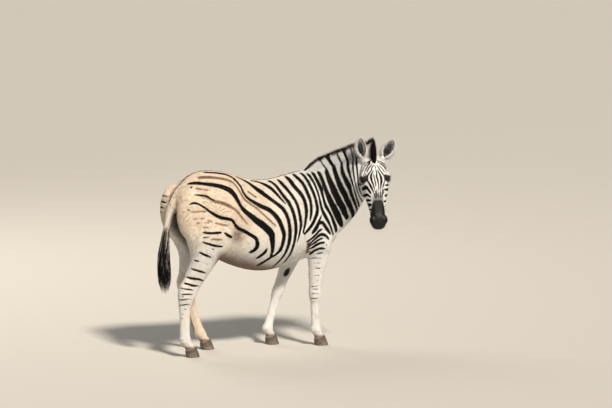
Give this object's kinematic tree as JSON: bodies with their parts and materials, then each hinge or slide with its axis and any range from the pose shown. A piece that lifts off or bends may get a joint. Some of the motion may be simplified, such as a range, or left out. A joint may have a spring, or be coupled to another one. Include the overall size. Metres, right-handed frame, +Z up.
{
  "type": "life-size standing zebra model",
  "caption": "Life-size still zebra standing with its head turned back over its right shoulder.",
  "frame": {"origin": "on the ground under the centre of the whole model's bounding box", "axes": "+X the way the body faces, +Y the animal's left side, +Z up"},
  "size_m": [1.7802, 0.7656, 1.561],
  "materials": {
    "coat": "short smooth hair, matt, off-white with near-black stripes",
    "muzzle": "near-black velvety skin, satin",
    "long_hair": "coarse upright hair, satin",
    "hoof": "dull dark horn",
    "eye": "wet dark brown, polished"
  },
  "bodies": {
    "root": {"trunk": "coat", "neck": "coat", "mane": "long_hair", "tail_dock": "coat", "tail_tuft": "long_hair", "head": "coat", "muzzle": "muzzle", "eye_right": "eye", "eye_left": "eye", "ear_right": "coat", "ear_left": "coat", "foreleg_right_upper": "coat", "foreleg_right_lower": "coat", "foreleg_right_hoof": "hoof", "foreleg_left_upper": "coat", "foreleg_left_lower": "coat", "foreleg_left_hoof": "hoof", "hindleg_right_upper": "coat", "hindleg_right_lower": "coat", "hindleg_right_hoof": "hoof", "hindleg_left_upper": "coat", "hindleg_left_lower": "coat", "hindleg_left_hoof": "hoof"}
  },
  "joints": []
}
